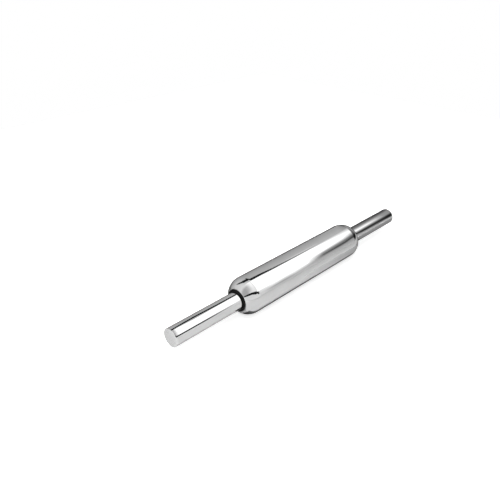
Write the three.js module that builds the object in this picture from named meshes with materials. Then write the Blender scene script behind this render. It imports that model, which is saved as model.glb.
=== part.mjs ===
// Stainless steel rolling pin: a hollow polished barrel that turns on a through axle,
// with a straight tubular handle clamped on each end of the axle.
// Millimetres. X runs along the axle, Z is up, and the origin is the middle of the axle.

import * as THREE from 'three';

// Overall sizes
const overallLength = 400;
const barrelLength = 212.5;
const barrelDiameter = 45;
const handleDiameter = 21.3;

// Barrel sheet, rounded ends and rolled-in mouths
const barrelWall = 1.2;
const domeRadius = 22;
const rimRadius = 1.6;
const neckLength = 8;

// Bearing bushes, each with a recess that takes the handle's inner end
const bushWall = 1.2;
const bushLength = 14;
const flangeWidth = 1.05;
const flangeThickness = 0.8;
const flangeChamfer = 0.3;
const recessDepth = 6;

// Axle, with a shoulder and a threaded stub at each end
const axleDiameter = 12;
const threadDiameter = 8;
const threadBeyondNut = 2;
const threadChamfer = 0.8;

// Handles
const handleWall = 1.2;
const plugLength = 14;
const capThickness = 2.5;
const capEdgeChamfer = 0.4;
const spigotLength = 5;

// Fasteners
const thrustWasherThickness = 1;
const thrustWasherInset = 1.2;
const lockWasherThickness = 2;
const lockWasherWidth = 2.2;
const lockWasherSplit = 1.2;
const nutAcrossFlats = 12;
const nutHeight = 6.5;

// Clearances
const pressGap = 0.05;
const threadGap = 0.1;
const runningGap = 0.2;
const recessGap = 0.4;
const endPlay = 0.3;

// Facets round a turned piece. The first corner is half a facet off, so a flat faces straight down.
const outerFacets = 40;
const innerFacets = 24;
const domeSteps = 7;
const rimSteps = 6;

// Radii that several pieces share
const barrelRadius = barrelDiameter / 2;
const handleRadius = handleDiameter / 2;
const handleBoreRadius = handleRadius - handleWall;
const axleRadius = axleDiameter / 2;
const threadRadius = threadDiameter / 2;
const recessRadius = handleRadius + recessGap;
const bushRadius = recessRadius + bushWall;
const neckRadius = bushRadius + pressGap;

// Places along the axle, from the middle outwards on either side
const mouthX = barrelLength / 2;
const flangeFaceX = mouthX + flangeThickness;
const bushInnerX = flangeFaceX - bushLength;
const recessFloorX = flangeFaceX - recessDepth;
const shoulderX = recessFloorX + endPlay;
const plugInnerX = shoulderX + thrustWasherThickness;
const plugOuterX = plugInnerX + plugLength;
const nutInnerX = plugOuterX + lockWasherThickness;
const nutOuterX = nutInnerX + nutHeight;
const axleEndX = nutOuterX + threadBeyondNut;
const handleEndX = overallLength / 2;
const capInnerX = handleEndX - capThickness;

// The dome and the rim are two arcs that share a tangent. The rim then runs on into the straight neck.
const domeCentreRadius = barrelRadius - domeRadius;
const rimCentreRadius = neckRadius + rimRadius;
const domeSweep = Math.acos((rimCentreRadius - domeCentreRadius) / (domeRadius - rimRadius));
const rimCentreX = mouthX - rimRadius;
const domeStartX = rimCentreX - (domeRadius - rimRadius) * Math.sin(domeSweep);
const neckEndX = rimCentreX - neckLength;

// Finishes
const polishedSteel = { color: 0xc8cacc, roughness: 0.08, metalness: 1 };
const satinSteel = { color: 0xd0d2d3, roughness: 0.35, metalness: 1 };
const machinedSteel = { color: 0xa9abae, roughness: 0.4, metalness: 1 };
const blackNylon = { color: 0x17181a, roughness: 0.5, metalness: 0 };

// Points on an arc of a profile. The angle is measured from straight outwards towards the handle's end.
function arc(centreX, centreRadius, radius, from, to, steps) {
  return Array.from({ length: steps + 1 }, (_, step) => {
    const angle = from + (to - from) * step / steps;
    return [centreX + radius * Math.sin(angle), centreRadius + radius * Math.cos(angle)];
  });
}

// Turns a profile of [x, radius] points round the axle. The side is 1 for right and -1 for left.
// A profile that doesn't start on the axle is closed on itself.
function turned(profile, side, facets) {
  const points = profile.map(([x, radius]) => new THREE.Vector2(radius, side * x));
  const outline = THREE.ShapeUtils.area(points) > 0 ? points : points.reverse();
  if (outline[0].x > 0) outline.push(outline[0].clone());
  const halfFacet = Math.PI / facets;
  return new THREE.LatheGeometry(outline, facets, halfFacet).rotateZ(-Math.PI / 2);
}

// A ring between two radii and two places along the axle.
function ring(innerX, outerX, boreRadius, outerRadius, side, facets) {
  const profile = [[innerX, boreRadius], [innerX, outerRadius], [outerX, outerRadius], [outerX, boreRadius]];
  return turned(profile, side, facets);
}

// Extrudes a flat outline along the axle between two places.
function extruded(outline, innerX, outerX, side) {
  const options = { depth: outerX - innerX, bevelEnabled: false, curveSegments: innerFacets };
  const startX = side > 0 ? innerX : -outerX;
  return new THREE.ExtrudeGeometry(outline, options).rotateY(Math.PI / 2).translate(startX, 0, 0);
}

function barrelTube() {
  return ring(-domeStartX, domeStartX, barrelRadius - barrelWall, barrelRadius, 1, outerFacets);
}

// Rounded end of the barrel, whose mouth is rolled inwards into a neck that grips the bush.
function endDome(side) {
  const innerDome = domeRadius - barrelWall;
  const innerRim = rimRadius - barrelWall;
  const profile = [
    ...arc(domeStartX, domeCentreRadius, domeRadius, 0, domeSweep, domeSteps),
    ...arc(rimCentreX, rimCentreRadius, rimRadius, domeSweep, Math.PI, rimSteps).slice(1),
    [neckEndX, neckRadius],
    [neckEndX, neckRadius + barrelWall],
    ...arc(rimCentreX, rimCentreRadius, innerRim, Math.PI, domeSweep, rimSteps),
    ...arc(domeStartX, domeCentreRadius, innerDome, domeSweep, 0, domeSteps).slice(1),
  ];
  return turned(profile, side, outerFacets);
}

// Flanged bush: the axle turns in its bore, and the handle's inner end sits in its recess.
function bush(side) {
  const boreRadius = axleRadius + runningGap;
  const flangeRadius = bushRadius + flangeWidth;
  const profile = [
    [bushInnerX, boreRadius],
    [bushInnerX, bushRadius],
    [mouthX, bushRadius],
    [mouthX, flangeRadius],
    [flangeFaceX - flangeChamfer, flangeRadius],
    [flangeFaceX, flangeRadius - flangeChamfer],
    [flangeFaceX, recessRadius],
    [recessFloorX, recessRadius],
    [recessFloorX, boreRadius],
  ];
  return turned(profile, side, outerFacets);
}

function axle() {
  const halfProfile = [
    [shoulderX, axleRadius],
    [shoulderX, threadRadius],
    [axleEndX - threadChamfer, threadRadius],
    [axleEndX, threadRadius - threadChamfer],
    [axleEndX, 0],
  ];
  const otherHalf = halfProfile.map(([x, radius]) => [-x, radius]).reverse();
  return turned([...otherHalf, ...halfProfile], 1, innerFacets);
}

// Washer between the axle's shoulder and the handle, which bears on the floor of the bush's recess.
function thrustWasher(side) {
  const outerRadius = handleRadius - thrustWasherInset;
  return ring(shoulderX, plugInnerX, threadRadius + threadGap, outerRadius, side, innerFacets);
}

function handleTube(side) {
  return ring(plugInnerX, capInnerX, handleBoreRadius, handleRadius, side, outerFacets);
}

// Plug fixed in the handle's inner end. The axle's threaded stub passes through it.
function handlePlug(side) {
  const outerRadius = handleBoreRadius - pressGap;
  return ring(plugInnerX, plugOuterX, threadRadius + threadGap, outerRadius, side, outerFacets);
}

// Split spring washer.
function lockWasher(side) {
  const boreRadius = threadRadius + threadGap;
  const outerRadius = boreRadius + lockWasherWidth;
  const halfGap = lockWasherSplit / 2;
  const innerAngle = Math.asin(halfGap / boreRadius);
  const outerAngle = Math.asin(halfGap / outerRadius);
  const outline = new THREE.Shape();
  outline.absarc(0, 0, outerRadius, outerAngle, 2 * Math.PI - outerAngle, false);
  outline.absarc(0, 0, boreRadius, 2 * Math.PI - innerAngle, innerAngle, true);
  outline.closePath();
  return extruded(outline, plugOuterX, nutInnerX, side);
}

function lockNut(side) {
  const cornerRadius = nutAcrossFlats / 2 / Math.cos(Math.PI / 6);
  const corners = Array.from({ length: 6 }, (_, corner) => {
    const angle = corner * Math.PI / 3;
    return new THREE.Vector2(cornerRadius * Math.cos(angle), cornerRadius * Math.sin(angle));
  });
  const outline = new THREE.Shape(corners);
  outline.holes.push(new THREE.Path().absarc(0, 0, threadRadius + threadGap, 0, 2 * Math.PI, true));
  return extruded(outline, nutInnerX, nutOuterX, side);
}

// Flat end of the handle, with a spigot that is pressed into the tube.
function endCap(side) {
  const spigotRadius = handleBoreRadius - pressGap;
  const spigotEndX = capInnerX - spigotLength;
  const profile = [
    [spigotEndX, 0],
    [spigotEndX, spigotRadius],
    [capInnerX, spigotRadius],
    [capInnerX, handleRadius],
    [handleEndX - capEdgeChamfer, handleRadius],
    [handleEndX, handleRadius - capEdgeChamfer],
    [handleEndX, 0],
  ];
  return turned(profile, side, outerFacets);
}

function piece(name, geometry, finish) {
  const mesh = new THREE.Mesh(geometry, new THREE.MeshStandardMaterial(finish));
  mesh.name = name;
  return mesh;
}

const handles = new THREE.Group();
const barrel = new THREE.Group();
handles.add(piece('axle', axle(), machinedSteel));
barrel.add(piece('barrel_tube', barrelTube(), polishedSteel));

for (const [end, side] of [['left', -1], ['right', 1]]) {
  barrel.add(
    piece(`${end}_end_dome`, endDome(side), polishedSteel),
    piece(`${end}_bush`, bush(side), blackNylon),
  );
  handles.add(
    piece(`${end}_thrust_washer`, thrustWasher(side), machinedSteel),
    piece(`${end}_handle_tube`, handleTube(side), polishedSteel),
    piece(`${end}_handle_plug`, handlePlug(side), machinedSteel),
    piece(`${end}_lock_washer`, lockWasher(side), machinedSteel),
    piece(`${end}_lock_nut`, lockNut(side), machinedSteel),
    piece(`${end}_end_cap`, endCap(side), satinSteel),
  );
}

const rollingPin = new THREE.Group();
rollingPin.add(handles, barrel);

export default rollingPin;
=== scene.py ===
"""Looks of the stainless steel rolling pin: smooth turned skins, finishes, floor, light and camera."""

import math

import bmesh
import bpy
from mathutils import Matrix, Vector


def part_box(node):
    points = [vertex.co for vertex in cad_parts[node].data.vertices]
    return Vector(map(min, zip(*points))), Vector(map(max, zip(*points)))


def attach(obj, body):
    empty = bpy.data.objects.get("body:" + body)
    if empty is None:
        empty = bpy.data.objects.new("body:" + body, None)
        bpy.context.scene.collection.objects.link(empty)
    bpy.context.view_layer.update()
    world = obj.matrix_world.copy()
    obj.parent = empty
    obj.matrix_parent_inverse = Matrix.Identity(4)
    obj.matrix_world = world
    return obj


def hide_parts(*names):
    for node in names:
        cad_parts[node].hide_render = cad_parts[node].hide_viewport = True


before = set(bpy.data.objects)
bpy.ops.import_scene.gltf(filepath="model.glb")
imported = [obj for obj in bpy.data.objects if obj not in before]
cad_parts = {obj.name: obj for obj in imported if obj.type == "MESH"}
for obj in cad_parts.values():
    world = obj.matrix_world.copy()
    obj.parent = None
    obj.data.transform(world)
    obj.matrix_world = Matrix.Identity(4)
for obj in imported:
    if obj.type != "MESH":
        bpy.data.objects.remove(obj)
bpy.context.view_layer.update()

# Sizes that the frame's boxes don't give, in metres
CAD_FACETS = 40
SHEET = 0.0012
DOME_RADIUS = 0.022
RIM_RADIUS = 0.0016
NECK_LENGTH = 0.008
HANDLE_WALL = 0.0012
BUSH_WALL = 0.0012
RECESS_DEPTH = 0.006
RECESS_GAP = 0.0004
RUNNING_GAP = 0.0002
PRESS_GAP = 0.00005
FLANGE_EDGE = 0.0003
CAP_EDGE = 0.0004
EDGE_HOLD = 0.00008
JOINT_LINE = 0.00006

# Fineness of the turned skins
ROUND_STEPS = 224
DOME_STEPS = 40
RIM_STEPS = 20
EDGE_STEPS = 4
SHARP_CORNER = math.radians(28)

# Most of a noise texture's values lie between these two
NOISE_LOW = 0.3
NOISE_HIGH = 0.7


def turned_radius(node):
    """Radius of a faceted round node, whose flats face along Y and Z."""
    low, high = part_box(node)
    return (high.z - low.z) / 2 / math.cos(math.pi / CAD_FACETS)


BARREL_RADIUS = turned_radius("barrel_tube")
HANDLE_RADIUS = turned_radius("right_handle_tube")
FLANGE_RADIUS = turned_radius("right_bush")
RECESS_RADIUS = HANDLE_RADIUS + RECESS_GAP
BUSH_RADIUS = RECESS_RADIUS + BUSH_WALL
NECK_RADIUS = BUSH_RADIUS + PRESS_GAP
AXLE_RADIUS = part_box("axle")[1].z
BUSH_START, FLANGE_FACE = (corner.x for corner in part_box("right_bush"))
HANDLE_START, CAP_START = (corner.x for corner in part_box("right_handle_tube"))
SPIGOT_END, HANDLE_END = (corner.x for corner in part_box("right_end_cap"))
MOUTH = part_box("right_end_dome")[1].x
FLOOR_HEIGHT = -BARREL_RADIUS


# Meshes

def arc(centre_x, centre_radius, radius, start, end, steps):
    """Profile points on an arc. The angle is from straight outwards towards the handle's end."""
    points = []
    for step in range(steps + 1):
        angle = start + (end - start) * step / steps
        points.append((centre_x + radius * math.sin(angle), centre_radius + radius * math.cos(angle)))
    return points


def mirrored(profile):
    """The same profile on the left side of the pin."""
    return [(-x, radius) for x, radius in reversed(profile)]


def corner_turn(before, here, after):
    """Angle by which a profile turns at a point."""
    incoming = Vector((here[0] - before[0], here[1] - before[1]))
    outgoing = Vector((after[0] - here[0], after[1] - here[1]))
    return incoming.angle(outgoing, 0.0)


def turned_piece(name, profile, closed):
    """A smooth solid turned about the X axis from (x, radius) points, with its corners kept sharp."""
    mesh = bmesh.new()
    rings = []
    for x, radius in profile:
        if radius == 0:
            rings.append([mesh.verts.new((x, 0.0, 0.0))])
            continue
        ring = []
        for step in range(ROUND_STEPS):
            turn = 2 * math.pi * step / ROUND_STEPS
            ring.append(mesh.verts.new((x, radius * math.cos(turn), radius * math.sin(turn))))
        rings.append(ring)
    count = len(rings)
    for first in range(count if closed else count - 1):
        for step in range(ROUND_STEPS):
            join_step(mesh, rings[first], rings[(first + 1) % count], step)
    mark_corners(mesh, rings, profile, closed)
    bmesh.ops.recalc_face_normals(mesh, faces=mesh.faces)
    data = bpy.data.meshes.new(name)
    mesh.to_mesh(data)
    mesh.free()
    data.shade_smooth()
    piece = bpy.data.objects.new(name, data)
    bpy.context.scene.collection.objects.link(piece)
    return piece


def join_step(mesh, first, second, step):
    """One face between two rings, a triangle where a ring is a single point on the axis."""
    after = (step + 1) % ROUND_STEPS
    corners = [first[step % len(first)], first[after % len(first)]]
    corners += [second[after % len(second)], second[step % len(second)]]
    mesh.faces.new(dict.fromkeys(corners))


def mark_corners(mesh, rings, profile, closed):
    """Keeps the shading sharp along each ring where the profile turns a corner."""
    count = len(profile)
    for index, ring in enumerate(rings):
        if len(ring) == 1 or (not closed and index in (0, count - 1)):
            continue
        turn = corner_turn(profile[index - 1], profile[index], profile[(index + 1) % count])
        if turn < SHARP_CORNER:
            continue
        for step in range(ROUND_STEPS):
            edge = mesh.edges.get((ring[step], ring[(step + 1) % ROUND_STEPS]))
            edge.smooth = False


def barrel_profile():
    """The polished shell: straight wall, rounded ends and mouths rolled in to grip the bushes."""
    dome_centre = BARREL_RADIUS - DOME_RADIUS
    rim_centre = NECK_RADIUS + RIM_RADIUS
    sweep = math.acos((rim_centre - dome_centre) / (DOME_RADIUS - RIM_RADIUS))
    rim_x = MOUTH - RIM_RADIUS
    dome_x = rim_x - (DOME_RADIUS - RIM_RADIUS) * math.sin(sweep)
    neck_end = rim_x - NECK_LENGTH
    outside = arc(dome_x, dome_centre, DOME_RADIUS, 0, sweep, DOME_STEPS)
    outside += arc(rim_x, rim_centre, RIM_RADIUS, sweep, math.pi, RIM_STEPS)[1:]
    inside = [(neck_end, NECK_RADIUS), (neck_end, NECK_RADIUS + SHEET)]
    inside += arc(rim_x, rim_centre, RIM_RADIUS - SHEET, math.pi, sweep, RIM_STEPS)
    inside += arc(dome_x, dome_centre, DOME_RADIUS - SHEET, sweep, 0, DOME_STEPS)[1:]
    return mirrored(outside) + outside + inside + mirrored(inside)


def bush_profile():
    """Flanged bush with a recess for the handle's inner end and a bore for the axle."""
    bore = AXLE_RADIUS + RUNNING_GAP
    recess_floor = FLANGE_FACE - RECESS_DEPTH
    corner_x = FLANGE_FACE - FLANGE_EDGE
    quarter = math.pi / 2
    profile = [(BUSH_START, bore), (BUSH_START, BUSH_RADIUS), (MOUTH, BUSH_RADIUS), (MOUTH, FLANGE_RADIUS)]
    profile += arc(corner_x, FLANGE_RADIUS - FLANGE_EDGE, FLANGE_EDGE, 0, quarter, EDGE_STEPS)
    profile += arc(corner_x, RECESS_RADIUS + FLANGE_EDGE, FLANGE_EDGE, quarter, math.pi, EDGE_STEPS)
    profile += [(recess_floor, RECESS_RADIUS), (recess_floor, bore)]
    return profile


def handle_profile():
    """Plain tube."""
    bore = HANDLE_RADIUS - HANDLE_WALL
    outside = [(HANDLE_START, HANDLE_RADIUS), (CAP_START, HANDLE_RADIUS)]
    return [(HANDLE_START, bore)] + outside + [(CAP_START, bore)]


def cap_profile():
    """Flat end with a fine rounded edge, and the spigot that is pressed into the tube."""
    spigot = HANDLE_RADIUS - HANDLE_WALL - PRESS_GAP
    start = CAP_START + JOINT_LINE
    edge = arc(HANDLE_END - CAP_EDGE, HANDLE_RADIUS - CAP_EDGE, CAP_EDGE, 0, math.pi / 2, EDGE_STEPS)
    inner = [(SPIGOT_END, 0), (SPIGOT_END, spigot), (start, spigot), (start, HANDLE_RADIUS)]
    side = [(HANDLE_END - CAP_EDGE - EDGE_HOLD, HANDLE_RADIUS)]
    face = [(HANDLE_END, HANDLE_RADIUS - CAP_EDGE - EDGE_HOLD), (HANDLE_END, 0)]
    return inner + side + edge + face


# Finishes

class Nodes:
    """Short forms for building one material's node tree."""

    def __init__(self, name):
        self.material = bpy.data.materials.new(name)
        self.material.use_nodes = True
        self.tree = self.material.node_tree
        self.shader = self.tree.nodes["Principled BSDF"]
        self.coordinates = self.add("ShaderNodeTexCoord").outputs["Object"]

    def add(self, kind, **settings):
        node = self.tree.nodes.new(kind)
        for key, value in settings.items():
            setattr(node, key, value)
        return node

    def link(self, source, target):
        self.tree.links.new(source, target)

    def noise(self, scale, stretch=(1, 1, 1), detail=3.0):
        mapping = self.add("ShaderNodeMapping")
        mapping.inputs["Scale"].default_value = stretch
        self.link(self.coordinates, mapping.inputs["Vector"])
        noise = self.add("ShaderNodeTexNoise")
        noise.inputs["Scale"].default_value = scale
        noise.inputs["Detail"].default_value = detail
        self.link(mapping.outputs["Vector"], noise.inputs["Vector"])
        return noise.outputs["Fac"]

    def ranged(self, value, low, high, start=NOISE_LOW, end=NOISE_HIGH):
        """Maps a value between two numbers."""
        node = self.add("ShaderNodeMapRange")
        node.inputs["From Min"].default_value = start
        node.inputs["From Max"].default_value = end
        node.inputs["To Min"].default_value = low
        node.inputs["To Max"].default_value = high
        self.link(value, node.inputs["Value"])
        return node.outputs["Result"]

    def ramp(self, value, dark, light):
        """Maps a noise between two colours."""
        node = self.add("ShaderNodeValToRGB")
        node.color_ramp.elements[0].position = NOISE_LOW
        node.color_ramp.elements[1].position = NOISE_HIGH
        node.color_ramp.elements[0].color = (*dark, 1)
        node.color_ramp.elements[1].color = (*light, 1)
        self.link(value, node.inputs["Fac"])
        return node.outputs["Color"]

    def axis_distance(self):
        """Distance from the pin's axis, in metres."""
        split = self.add("ShaderNodeSeparateXYZ")
        self.link(self.coordinates, split.inputs["Vector"])
        flat = self.add("ShaderNodeCombineXYZ")
        self.link(split.outputs["Y"], flat.inputs["Y"])
        self.link(split.outputs["Z"], flat.inputs["Z"])
        length = self.add("ShaderNodeVectorMath", operation="LENGTH")
        self.link(flat.outputs["Vector"], length.inputs[0])
        return length.outputs["Value"]

    def bump(self, height, strength, distance):
        node = self.add("ShaderNodeBump")
        node.inputs["Strength"].default_value = strength
        node.inputs["Distance"].default_value = distance
        self.link(height, node.inputs["Height"])
        self.link(node.outputs["Normal"], self.shader.inputs["Normal"])


def polished_steel():
    """Mirror polish with faint polishing lines round the pin and a little handling haze."""
    nodes = Nodes("polished_steel")
    nodes.shader.inputs["Metallic"].default_value = 1.0
    haze = nodes.noise(38, detail=5.0)
    lines = nodes.noise(9, stretch=(190, 2, 2), detail=2.0)
    colour = nodes.ramp(haze, (0.60, 0.60, 0.602), (0.64, 0.64, 0.64))
    nodes.link(colour, nodes.shader.inputs["Base Color"])
    nodes.link(nodes.ranged(haze, 0.03, 0.07), nodes.shader.inputs["Roughness"])
    nodes.bump(lines, strength=0.04, distance=0.00002)
    return nodes.material


def satin_steel():
    """Finely turned face, with rings about the axis, and a rim polished along with the handle."""
    nodes = Nodes("satin_steel")
    nodes.shader.inputs["Metallic"].default_value = 1.0
    distance = nodes.axis_distance()
    rings = nodes.add("ShaderNodeTexNoise", noise_dimensions="1D")
    rings.inputs["Scale"].default_value = 5200
    rings.inputs["Detail"].default_value = 2.0
    nodes.link(distance, rings.inputs["W"])
    haze = nodes.noise(120)
    colour = nodes.ramp(haze, (0.62, 0.62, 0.62), (0.68, 0.68, 0.68))
    nodes.link(colour, nodes.shader.inputs["Base Color"])
    face_edge = HANDLE_RADIUS - CAP_EDGE
    roughness = nodes.add("ShaderNodeMix")
    nodes.link(nodes.ranged(distance, 0.0, 1.0, face_edge, HANDLE_RADIUS), roughness.inputs["Factor"])
    nodes.link(nodes.ranged(rings.outputs["Fac"], 0.22, 0.38), roughness.inputs["A"])
    nodes.link(nodes.ranged(haze, 0.03, 0.07), roughness.inputs["B"])
    nodes.link(roughness.outputs["Result"], nodes.shader.inputs["Roughness"])
    nodes.bump(rings.outputs["Fac"], strength=0.12, distance=0.00003)
    return nodes.material


def machined_steel():
    """Plain turned steel inside the pin."""
    nodes = Nodes("machined_steel")
    nodes.shader.inputs["Metallic"].default_value = 1.0
    lines = nodes.noise(12, stretch=(160, 3, 3))
    stain = nodes.noise(60, detail=4.0)
    colour = nodes.ramp(stain, (0.36, 0.36, 0.37), (0.46, 0.46, 0.47))
    nodes.link(colour, nodes.shader.inputs["Base Color"])
    nodes.link(nodes.ranged(lines, 0.28, 0.45), nodes.shader.inputs["Roughness"])
    nodes.bump(lines, strength=0.2, distance=0.00004)
    return nodes.material


def black_nylon():
    """Satin black plastic with a fine moulded grain."""
    nodes = Nodes("black_nylon")
    nodes.shader.inputs["Specular IOR Level"].default_value = 0.12
    grain = nodes.noise(2600, detail=2.0)
    wear = nodes.noise(300)
    colour = nodes.ramp(wear, (0.004, 0.004, 0.004), (0.009, 0.009, 0.009))
    nodes.link(colour, nodes.shader.inputs["Base Color"])
    nodes.link(nodes.ranged(wear, 0.28, 0.42), nodes.shader.inputs["Roughness"])
    nodes.bump(grain, strength=0.1, distance=0.00003)
    return nodes.material


# Pieces

FINISHES = {
    "polished_steel": polished_steel(),
    "satin_steel": satin_steel(),
    "machined_steel": machined_steel(),
    "black_nylon": black_nylon(),
}


def add_piece(name, profile, closed, body, slot, *nodes):
    """Turns a piece, gives it its finish and body, and puts it in place of the CAD nodes that it covers."""
    piece = turned_piece(name, profile, closed)
    piece.data.materials.append(FINISHES[slot])
    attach(piece, body)
    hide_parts(*nodes)


add_piece("barrel_shell", barrel_profile(), True, "barrel", "polished_steel",
          "barrel_tube", "left_end_dome", "right_end_dome")
for end, flip in (("left", mirrored), ("right", list)):
    add_piece(f"{end}_flanged_bush", flip(bush_profile()), True, "barrel", "black_nylon", f"{end}_bush")
    add_piece(f"{end}_handle", flip(handle_profile()), True, "handles", "polished_steel",
              f"{end}_handle_tube")
    add_piece(f"{end}_handle_end", flip(cap_profile()), False, "handles", "satin_steel", f"{end}_end_cap")

inner_nodes = ["axle"]
for inner in ("thrust_washer", "handle_plug", "lock_washer", "lock_nut"):
    inner_nodes += [f"left_{inner}", f"right_{inner}"]
for name in inner_nodes:
    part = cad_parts[name]
    part.data.materials.clear()
    part.data.materials.append(FINISHES["machined_steel"])


# Stage. The cards' and sheets' levels were set to match the photograph's reflections.

CARD_STEPS = 8
CARD_RADIUS = 1.3
LAYER = 0.03
FAR_LEFT = -5.0
FAR_RIGHT = 40.0
SHEET_LIFT = 0.0005


def card_light():
    """White light, as strong as the card's own level at each point."""
    material = bpy.data.materials.new("card_light")
    material.use_nodes = True
    tree = material.node_tree
    tree.nodes.clear()
    level = tree.nodes.new("ShaderNodeAttribute")
    level.attribute_name = "level"
    emission = tree.nodes.new("ShaderNodeEmission")
    output = tree.nodes.new("ShaderNodeOutputMaterial")
    tree.links.new(level.outputs["Fac"], emission.inputs["Strength"])
    tree.links.new(emission.outputs["Emission"], output.inputs["Surface"])
    return material


CARD_LIGHT = card_light()


def stage_mesh(name, vertices, faces, material):
    """An object of the stage, which isn't part of the pin."""
    data = bpy.data.meshes.new(name)
    data.from_pydata(vertices, [], faces)
    data.materials.append(material)
    thing = bpy.data.objects.new(name, data)
    bpy.context.scene.collection.objects.link(thing)
    return thing


def between(start, end, share):
    """The value at a share of the way from start to end."""
    return start + (end - start) * share


def stepped(values):
    """The same values with even steps put in between each neighbouring two."""
    fine = []
    for first, second in zip(values, values[1:]):
        fine += [between(first, second, step / CARD_STEPS) for step in range(CARD_STEPS)]
    return fine + [values[-1]]


def studio_card(name, layer, *stations):
    """A curved card over the pin, seen only in the metal. A higher layer is nearer the pin.

    Each station is (x, angles, levels), from left to right. Its angles go in degrees from the
    camera's side, over the top, to the back, and each has a level of light.
    """
    radius = CARD_RADIUS - layer * LAYER
    vertices, lights = [], []
    for x, angles, levels in stations:
        for angle in stepped(angles):
            turn = math.radians(angle)
            vertices.append((x, -radius * math.cos(turn), radius * math.sin(turn)))
        lights += stepped(levels)
    width = len(vertices) // len(stations)
    faces = []
    for column in range(len(stations) - 1):
        for row in range(width - 1):
            corner = column * width + row
            faces.append((corner, corner + 1, corner + width + 1, corner + width))
    metal_only(stage_mesh(name, vertices, faces, CARD_LIGHT), lights)


def metal_only(card, lights):
    """Gives a card its light at each vertex, and hides it from all but the metal."""
    card.data.attributes.new("level", "FLOAT", "POINT").data.foreach_set("value", lights)
    card.visible_camera = False
    card.visible_diffuse = False
    card.visible_shadow = False


def softbox():
    """The long white box over the pin, which fades out to the right, and its dark frame."""
    white = (1.9, 1.9)
    black = (0.02, 0.02)
    studio_card("softbox", 1,
                (0.455, (30, 112), white),
                (0.57, (30, 98), white),
                (0.66, (30, 102), white),
                (0.9, (29, 103), white),
                (0.95, (26, 101), white),
                (1.25, (26, 99), white))
    studio_card("softbox_right", 1,
                (1.25, (26, 95, 100), (1.9, 1.9, 0.8)),
                (1.43, (26, 86, 104), (1.9, 1.8, 0.75)),
                (1.57, (26, 74, 114), (1.9, 1.8, 0.34)),
                (1.68, (26, 74, 114), (1.8, 1.75, 0.4)),
                (1.82, (26, 72, 114), (0.55, 0.48, 0.45)),
                (2.2, (26, 72, 114), (0.3, 0.25, 0.35)),
                (FAR_RIGHT, (26, 72, 114), (0.1, 0.1, 0.2)))
    studio_card("frame_back", 2,
                (-0.43, (133, 152), black),
                (-0.1, (112, 130), black),
                (0.4, (109, 125), black),
                (0.55, (114, 136), black),
                (0.67, (106, 126), black),
                (0.9, (105, 118), black),
                (0.96, (102, 111), black),
                (1.05, (101, 108), (0.05, 0.05)),
                (1.13, (100, 106), (0.15, 0.15)),
                (1.29, (100, 106), (0.8, 0.8)))
    studio_card("frame_front", 2,
                (FAR_LEFT, (34, 50), black),
                (-0.4, (29, 41), black),
                (0.1, (21, 37), black),
                (0.3, (22, 34), black),
                (0.44, (15, 29), black),
                (0.6, (14, 28), black),
                (0.73, (15, 26), (0.8, 0.8)))
    studio_card("frame_side", 2,
                (0.43, (28, 112), black),
                (0.458, (28, 112), black))
    studio_card("frame_glow", 1,
                (1.02, (107, 116), (0.75, 0.72)),
                (1.12, (104, 116), (1.15, 0.8)),
                (1.22, (104, 116), (1.15, 0.75)),
                (1.3, (100, 116), (0.85, 0.72)))


def walls():
    """The grey room round the softbox, darker to the right."""
    back = (99, 150, 180)
    studio_card("back_wall", 0,
                (FAR_LEFT, back, (1.1, 1.0, 0.8)),
                (-0.5, back, (1.1, 0.9, 0.6)),
                (0.5, back, (0.75, 0.6, 0.4)),
                (1.36, back, (0.76, 0.56, 0.42)),
                (1.52, back, (0.76, 0.56, 0.5)),
                (1.58, back, (0.45, 0.2, 0.04)),
                (1.86, back, (0.48, 0.1, 0.02)),
                (2.2, back, (0.6, 0.4, 0.3)),
                (FAR_RIGHT, back, (0.3, 0.2, 0.1)))
    left = (34, 60, 84, 104)
    studio_card("left_wall", 0,
                (FAR_LEFT, left, (0.5, 0.6, 1.0, 1.1)),
                (-0.9, left, (0.65, 0.58, 0.6, 1.15)),
                (-0.4, left, (1.3, 0.8, 0.75, 1.4)),
                (0.1, left, (1.2, 1.35, 1.5, 1.6)),
                (0.46, left, (1.2, 1.3, 1.6, 1.6)))
    studio_card("front_wall", 0,
                (FAR_LEFT, (0, 14, 34), (1.0, 1.0, 1.0)),
                (0.72, (0, 14, 30), (1.08, 1.05, 1.0)),
                (0.91, (0, 12, 30), (0.95, 0.95, 1.3)),
                (0.96, (0, 10, 26), (0.9, 0.62, 1.7)),
                (1.03, (0, 10, 27), (0.86, 0.5, 1.5)),
                (1.11, (0, 10, 26), (0.85, 0.72, 1.7)),
                (1.2, (0, 12, 27), (0.86, 0.7, 1.3)),
                (1.29, (0, 14, 27), (0.72, 0.6, 0.4)),
                (1.59, (0, 12, 27), (0.7, 0.55, 0.45)),
                (1.82, (0, 6, 27), (0.3, 0.15, 0.1)),
                (FAR_RIGHT, (0, 6, 27), (0.3, 0.1, 0.1)))


def right_flag():
    """A dark panel in front of the softbox's right end, lighter towards the top."""
    studio_card("flag", 2,
                (1.16, (15, 26, 42, 50), (0.65, 1.2, 1.9, 1.9)),
                (1.26, (16, 26, 40, 50), (0.5, 0.14, 0.55, 1.9)),
                (1.44, (17, 25, 42, 60), (0.4, 0.06, 0.42, 1.9)),
                (1.5, (23, 31, 46, 70), (0.6, 0.03, 0.28, 1.5)),
                (1.58, (12, 25, 42, 70), (0.2, 0.0, 0.15, 1.6)),
                (1.73, (6, 24, 42, 70), (0.35, 0.0, 0.1, 0.95)),
                (1.83, (0, 22, 42, 66), (0.15, 0.0, 0.03, 0.42)),
                (2.2, (0, 22, 42, 66), (0.1, 0.0, 0.03, 0.2)),
                (FAR_RIGHT, (0, 22, 42, 66), (0.1, 0.0, 0.03, 0.1)))


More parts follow.
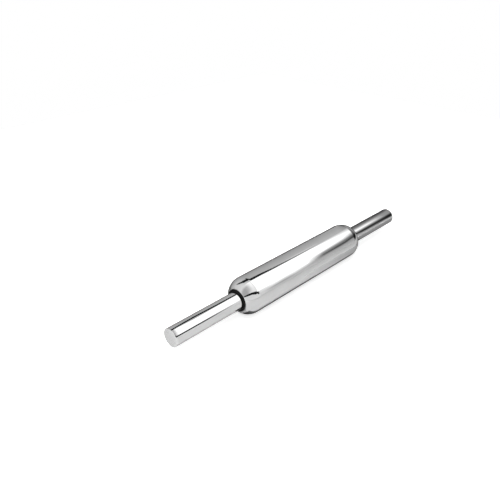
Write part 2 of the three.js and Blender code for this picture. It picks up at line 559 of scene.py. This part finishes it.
def floor_sheets():
    """Glowing sheets on the floor, seen only in the metal: painted floor shade that darkens the edges of
    the barrel and handles, and a painted bright patch that lights the left end face.
    """
    height = FLOOR_HEIGHT + SHEET_LIFT
    # Dark sheets behind the pin, seen in the top edges of the barrel and handles.
    floor_sheet("back_sheet", (-0.2, 0.11), (0.035, 1.25), (0.24, 0.24), (0.2, 0.2), height)
    floor_sheet("back_right_sheet", (0.11, 3.0), (0.02, 1.25), (0.06, 0.06), (0.0, 0.0), height)
    # Painted shade on the floor under the right handle, darker towards the back.
    floor_sheet("right_sheet", (0.14, 0.32), (-0.06, 0.019), (0.55, 0.55), (0.12, 0.12), height)
    # Painted light: a patch beyond the left end, far brighter than the floor, whose reflection lights the
    # left end face.
    floor_sheet("left_end_sheet", (-0.34, -0.2), (-0.02, 0.08), (2.8, 1.0), (2.8, 0.3), height)
    # Painted shade on the floor under the left handle, darker towards the back.
    floor_sheet("left_sheet", (-0.2, -0.105), (-0.015, 0.03), (0.7, 0.62), (0.2, 0.2), height)
    # Painted contact shadow on the floor just in front of the barrel's contact line, darkest next to it.
    floor_sheet("painted_contact_shadow_sheet", (-0.105, 0.14), (-0.02, -0.005), (0.16, 0.1), (0.0, 0.0), height)
    # Painted shade on the floor in front of the barrel's right half, darker towards the right and the back.
    floor_sheet("painted_shade_sheet", (0.02, 0.14), (-0.055, -0.02), (0.92, 0.62), (0.8, 0.36), height)


def floor_sheet(name, sides, depth, front, back, height):
    """A flat sheet, with the levels of light at its two front and two back corners, from left to right."""
    corners = [(x, y, height) for y in depth for x in sides]
    metal_only(stage_mesh(name, corners, [(0, 1, 3, 2)], CARD_LIGHT), (*front, *back))


def pale_floor():
    """Pale floor that reaches white for the camera and keeps the pin's shadow."""
    half = 0.9
    grey = 0.84
    lift_range = (0.2, 0.6)
    lift_levels = (0.7, 1.0)
    nodes = Nodes("pale_floor")
    nodes.tree.nodes.remove(nodes.shader)
    diffuse = nodes.add("ShaderNodeBsdfDiffuse")
    diffuse.inputs["Color"].default_value = (grey, grey, grey, 1)
    distance = nodes.add("ShaderNodeVectorMath", operation="LENGTH")
    nodes.link(nodes.coordinates, distance.inputs[0])
    lift = nodes.ranged(distance.outputs["Value"], *lift_levels, *lift_range)
    seen = nodes.add("ShaderNodeMath", operation="MULTIPLY")
    nodes.link(nodes.add("ShaderNodeLightPath").outputs["Is Camera Ray"], seen.inputs[0])
    nodes.link(lift, seen.inputs[1])
    glow = nodes.add("ShaderNodeEmission")
    nodes.link(seen.outputs["Value"], glow.inputs["Strength"])
    both = nodes.add("ShaderNodeAddShader")
    nodes.link(diffuse.outputs["BSDF"], both.inputs[0])
    nodes.link(glow.outputs["Emission"], both.inputs[1])
    nodes.link(both.outputs["Shader"], nodes.tree.nodes["Material Output"].inputs["Surface"])
    corners = [(-half, -half, FLOOR_HEIGHT), (half, -half, FLOOR_HEIGHT)]
    corners += [(half, half, FLOOR_HEIGHT), (-half, half, FLOOR_HEIGHT)]
    stage_mesh("pale_floor", corners, [(0, 1, 2, 3)], nodes.material)


def white_surroundings():
    """White behind everything, for the camera and in the metal, and a weaker fill light for the floor."""
    fill = 0.45
    world = bpy.data.worlds.new("white_surroundings")
    world.use_nodes = True
    tree = world.node_tree
    background = tree.nodes["Background"]
    background.inputs["Color"].default_value = (1, 1, 1, 1)
    strength = tree.nodes.new("ShaderNodeMapRange")
    strength.inputs["To Min"].default_value = 1.0
    strength.inputs["To Max"].default_value = fill
    light_path = tree.nodes.new("ShaderNodeLightPath")
    tree.links.new(light_path.outputs["Is Diffuse Ray"], strength.inputs["Value"])
    tree.links.new(strength.outputs["Result"], background.inputs["Strength"])
    bpy.context.scene.world = world


def top_lamp():
    """Soft lamp above the left handle, which lights the floor and gives the pin's shadow."""
    data = bpy.data.lights.new("top_lamp", "AREA")
    data.energy = 6.0
    data.size = 0.5
    lamp = bpy.data.objects.new("top_lamp", data)
    bpy.context.scene.collection.objects.link(lamp)
    lamp.location = (-0.3, -0.1, 0.8)
    lamp.visible_glossy = False


def camera():
    """Camera at the photograph's viewing angle, as fitted to the pin's edges."""
    data = bpy.data.cameras.new("camera")
    data.sensor_width = 36.0
    data.lens = 39.67
    eye = bpy.data.objects.new("camera", data)
    bpy.context.scene.collection.objects.link(eye)
    eye.location = (-0.4609, -0.3660, 0.3446)
    azimuth = math.radians(45.748)
    elevation = math.radians(28.839)
    level = math.cos(elevation)
    forward = Vector((math.sin(azimuth) * level, math.cos(azimuth) * level, -math.sin(elevation)))
    eye.rotation_euler = forward.to_track_quat("-Z", "Y").to_euler()
    bpy.context.scene.camera = eye


pale_floor()
white_surroundings()
softbox()
walls()
right_flag()
floor_sheets()
top_lamp()
camera()
bpy.context.scene.view_settings.view_transform = "Standard"
